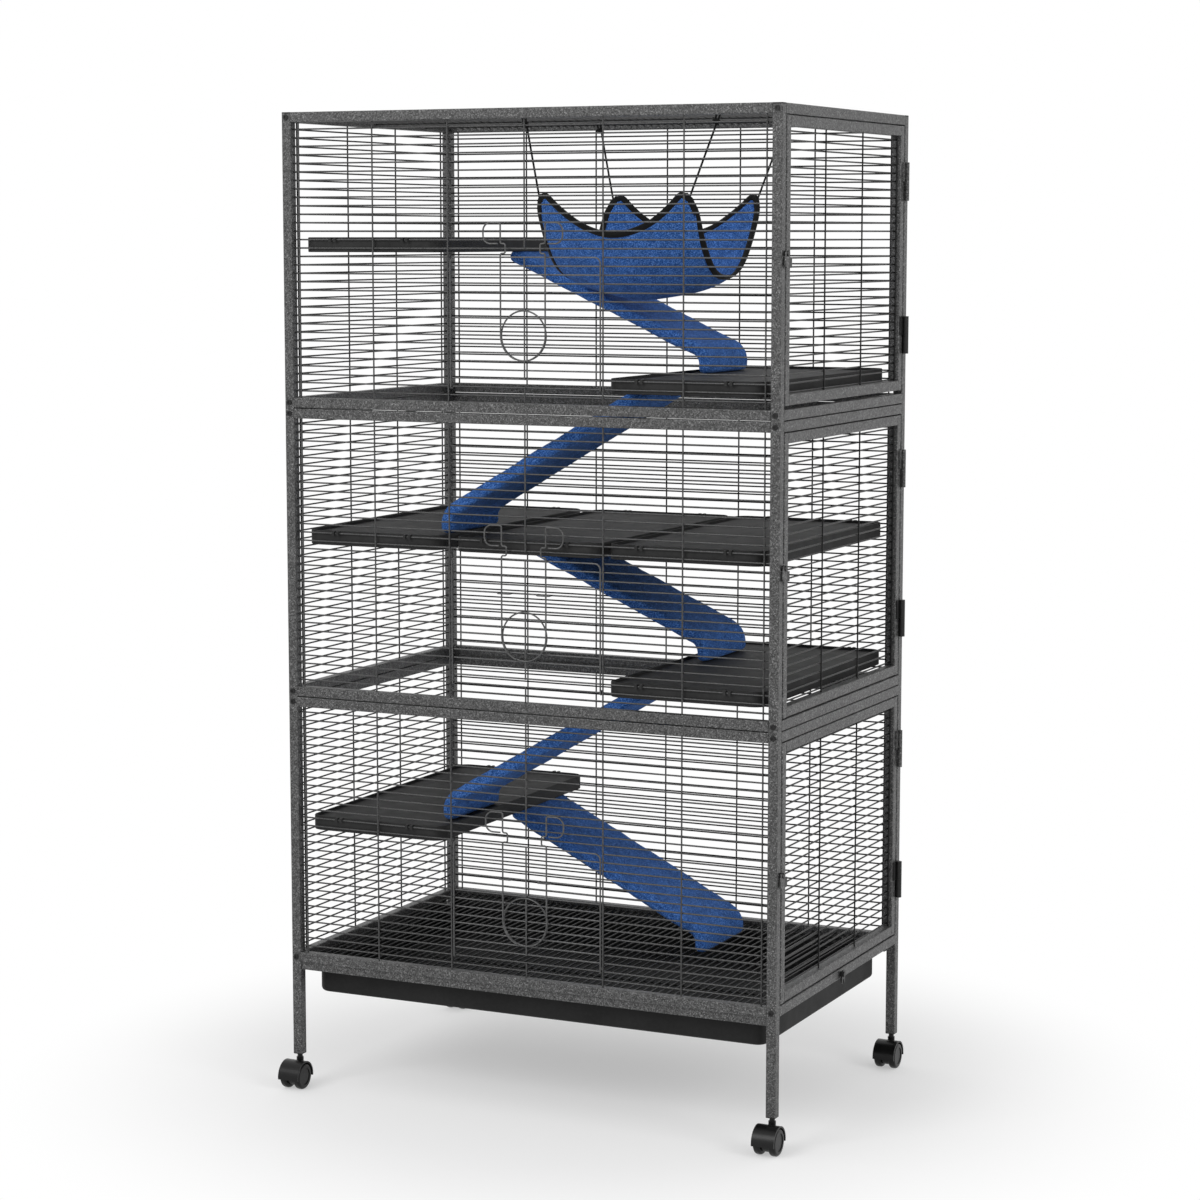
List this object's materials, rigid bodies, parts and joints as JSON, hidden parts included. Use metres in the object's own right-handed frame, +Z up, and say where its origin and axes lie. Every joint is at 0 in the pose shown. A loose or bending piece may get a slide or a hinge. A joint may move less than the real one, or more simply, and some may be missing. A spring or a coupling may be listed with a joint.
{
  "type": "small_animal_cage",
  "caption": "Tall rolling wire cage for small animals, with tiers of shelves and fleece ramps, a hammock, swinging side doors, drop-down front hatches and a slide-out tray",
  "frame": {"origin": "on the floor, under the middle of the cage", "axes": "+X to the side doors, +Y to the back, +Z up"},
  "size_m": [0.8198, 0.575, 1.485],
  "materials": {
    "hammertone": "hammertone grey enamel",
    "grille_wire": "grey enamel on round wire",
    "black_steel": "black oxide",
    "black_plastic": "fine moulded grain",
    "wheel_plastic": "smooth moulded nylon",
    "blue_fleece": "short pile fleece",
    "hardboard": "raw hardboard",
    "black_cord": "braided cord"
  },
  "bodies": {
    "frame": {"post_front_left": "hammertone", "post_front_right": "hammertone", "post_back_left": "hammertone", "post_back_right": "hammertone", "post_caps": "black_plastic", "front_back_rails": "hammertone", "side_rails": "hammertone", "frame_screws": "black_steel", "back_grilles": "grille_wire", "left_grilles": "grille_wire", "roof_grille": "grille_wire", "floor_grille": "grille_wire", "post_hinges": "black_steel", "shelves_top": "black_plastic", "shelves_middle": "black_plastic", "shelf_bottom": "black_plastic", "ramp_boards": "hardboard", "hammock": "blue_fleece", "hammock_cords": "black_cord", "tray_runners": "hammertone", "caster_stems": "black_steel", "ramp_sleeve_top": "blue_fleece", "ramp_sleeve_upper_crossing": "blue_fleece", "ramp_sleeve_middle": "blue_fleece", "ramp_sleeve_lower_crossing": "blue_fleece", "ramp_sleeve_bottom": "blue_fleece", "front_grille_bottom": "grille_wire", "front_grille_middle": "grille_wire", "front_grille_top": "grille_wire"},
    "side_door_bottom": {"side_door_bottom": "hammertone", "side_door_grille_bottom": "grille_wire", "side_door_hardware_bottom": "black_steel"},
    "side_latch_bottom": {"side_latch_bottom": "hammertone"},
    "front_door_bottom": {"front_door_bottom": "grille_wire"},
    "front_latch_right_bottom": {"front_latch_right_bottom": "grille_wire"},
    "front_latch_left_bottom": {"front_latch_left_bottom": "grille_wire"},
    "side_door_middle": {"side_door_middle": "hammertone", "side_door_grille_middle": "grille_wire", "side_door_hardware_middle": "black_steel"},
    "side_latch_middle": {"side_latch_middle": "hammertone"},
    "front_door_middle": {"front_door_middle": "grille_wire"},
    "front_latch_right_middle": {"front_latch_right_middle": "grille_wire"},
    "front_latch_left_middle": {"front_latch_left_middle": "grille_wire"},
    "side_door_top": {"side_door_top": "hammertone", "side_door_grille_top": "grille_wire", "side_door_hardware_top": "black_steel"},
    "side_latch_top": {"side_latch_top": "hammertone"},
    "front_door_top": {"front_door_top": "grille_wire"},
    "front_latch_right_top": {"front_latch_right_top": "grille_wire"},
    "front_latch_left_top": {"front_latch_left_top": "grille_wire"},
    "tray": {"tray": "black_plastic"},
    "tray_latch": {"tray_latch": "black_steel"},
    "caster_front_left": {"caster_housing_front_left": "black_plastic"},
    "wheels_front_left": {"caster_wheels_front_left": "wheel_plastic"},
    "caster_front_right": {"caster_housing_front_right": "black_plastic"},
    "wheels_front_right": {"caster_wheels_front_right": "wheel_plastic"},
    "caster_back_left": {"caster_housing_back_left": "black_plastic"},
    "wheels_back_left": {"caster_wheels_back_left": "wheel_plastic"},
    "caster_back_right": {"caster_housing_back_right": "black_plastic"},
    "wheels_back_right": {"caster_wheels_back_right": "wheel_plastic"}
  },
  "joints": [
    {"name": "side_door_bottom_swing", "type": "hinge", "parent": "frame", "child": "side_door_bottom", "pos_m": [0.4046, 0.24085, 0.40375], "axis": [0, 0, 1], "range_deg": [0, 170]},
    {"name": "side_latch_bottom_swing", "type": "hinge", "parent": "frame", "child": "side_latch_bottom", "pos_m": [0.404, -0.2466, 0.404], "axis": [-1, 0, 0], "range_deg": [0, 90]},
    {"name": "front_door_bottom_drop", "type": "hinge", "parent": "frame", "child": "front_door_bottom", "pos_m": [0, -0.2488, 0.235], "axis": [1, 0, 0], "range_deg": [0, 140]},
    {"name": "front_latch_right_bottom_squeeze", "type": "hinge", "parent": "front_door_bottom", "child": "front_latch_right_bottom", "pos_m": [0, -0.2568, 0.2975], "axis": [0, -1, 0], "range_deg": [0, 6], "stiffness_Nm_per_rad": 0.4, "springref_deg": -5.73},
    {"name": "front_latch_left_bottom_squeeze", "type": "hinge", "parent": "front_door_bottom", "child": "front_latch_left_bottom", "pos_m": [0, -0.2568, 0.2975], "axis": [0, 1, 0], "range_deg": [0, 6], "stiffness_Nm_per_rad": 0.4, "springref_deg": -5.73},
    {"name": "side_door_middle_swing", "type": "hinge", "parent": "frame", "child": "side_door_middle", "pos_m": [0.4046, 0.24085, 0.82875], "axis": [0, 0, 1], "range_deg": [0, 170]},
    {"name": "side_latch_middle_swing", "type": "hinge", "parent": "frame", "child": "side_latch_middle", "pos_m": [0.404, -0.2466, 0.8415], "axis": [-1, 0, 0], "range_deg": [0, 90]},
    {"name": "front_door_middle_drop", "type": "hinge", "parent": "frame", "child": "front_door_middle", "pos_m": [0, -0.2488, 0.6475], "axis": [1, 0, 0], "range_deg": [0, 140]},
    {"name": "front_latch_right_middle_squeeze", "type": "hinge", "parent": "front_door_middle", "child": "front_latch_right_middle", "pos_m": [0, -0.2568, 0.7225], "axis": [0, -1, 0], "range_deg": [0, 6], "stiffness_Nm_per_rad": 0.4, "springref_deg": -5.73},
    {"name": "front_latch_left_middle_squeeze", "type": "hinge", "parent": "front_door_middle", "child": "front_latch_left_middle", "pos_m": [0, -0.2568, 0.7225], "axis": [0, 1, 0], "range_deg": [0, 6], "stiffness_Nm_per_rad": 0.4, "springref_deg": -5.73},
    {"name": "side_door_top_swing", "type": "hinge", "parent": "frame", "child": "side_door_top", "pos_m": [0.4046, 0.24085, 1.26625], "axis": [0, 0, 1], "range_deg": [0, 170]},
    {"name": "side_latch_top_swing", "type": "hinge", "parent": "frame", "child": "side_latch_top", "pos_m": [0.404, -0.2466, 1.279], "axis": [-1, 0, 0], "range_deg": [0, 90]},
    {"name": "front_door_top_drop", "type": "hinge", "parent": "frame", "child": "front_door_top", "pos_m": [0, -0.2488, 1.085], "axis": [1, 0, 0], "range_deg": [0, 140]},
    {"name": "front_latch_right_top_squeeze", "type": "hinge", "parent": "front_door_top", "child": "front_latch_right_top", "pos_m": [0, -0.2568, 1.16], "axis": [0, -1, 0], "range_deg": [0, 6], "stiffness_Nm_per_rad": 0.4, "springref_deg": -5.73},
    {"name": "front_latch_left_top_squeeze", "type": "hinge", "parent": "front_door_top", "child": "front_latch_left_top", "pos_m": [0, -0.2568, 1.16], "axis": [0, 1, 0], "range_deg": [0, 6], "stiffness_Nm_per_rad": 0.4, "springref_deg": -5.73},
    {"name": "tray_slide", "type": "slide", "parent": "frame", "child": "tray", "axis": [1, 0, 0], "range_m": [0, 0.64]},
    {"name": "tray_latch_swing", "type": "hinge", "parent": "frame", "child": "tray_latch", "pos_m": [0.404, 0, 0.205], "axis": [1, 0, 0], "range_deg": [-90, 90]},
    {"name": "caster_front_left_swivel", "type": "hinge", "parent": "frame", "child": "caster_front_left", "pos_m": [-0.3925, -0.25, 0.03], "axis": [0, 0, 1], "continuous": true},
    {"name": "wheels_front_left_spin", "type": "hinge", "parent": "caster_front_left", "child": "wheels_front_left", "pos_m": [-0.3925, -0.264, 0.02], "axis": [1, 0, 0], "continuous": true},
    {"name": "caster_front_right_swivel", "type": "hinge", "parent": "frame", "child": "caster_front_right", "pos_m": [0.3925, -0.25, 0.03], "axis": [0, 0, 1], "continuous": true},
    {"name": "wheels_front_right_spin", "type": "hinge", "parent": "caster_front_right", "child": "wheels_front_right", "pos_m": [0.3925, -0.264, 0.02], "axis": [1, 0, 0], "continuous": true},
    {"name": "caster_back_left_swivel", "type": "hinge", "parent": "frame", "child": "caster_back_left", "pos_m": [-0.3925, 0.25, 0.03], "axis": [0, 0, 1], "continuous": true},
    {"name": "wheels_back_left_spin", "type": "hinge", "parent": "caster_back_left", "child": "wheels_back_left", "pos_m": [-0.3925, 0.264, 0.02], "axis": [1, 0, 0], "continuous": true},
    {"name": "caster_back_right_swivel", "type": "hinge", "parent": "frame", "child": "caster_back_right", "pos_m": [0.3925, 0.25, 0.03], "axis": [0, 0, 1], "continuous": true},
    {"name": "wheels_back_right_spin", "type": "hinge", "parent": "caster_back_right", "child": "wheels_back_right", "pos_m": [0.3925, 0.236, 0.02], "axis": [1, 0, 0], "continuous": true}
  ],
  "couplings": [
    {"joint": "front_latch_left_bottom_squeeze", "follows": "front_latch_right_bottom_squeeze", "ratio": 1},
    {"joint": "front_latch_left_middle_squeeze", "follows": "front_latch_right_middle_squeeze", "ratio": 1},
    {"joint": "front_latch_left_top_squeeze", "follows": "front_latch_right_top_squeeze", "ratio": 1}
  ]
}
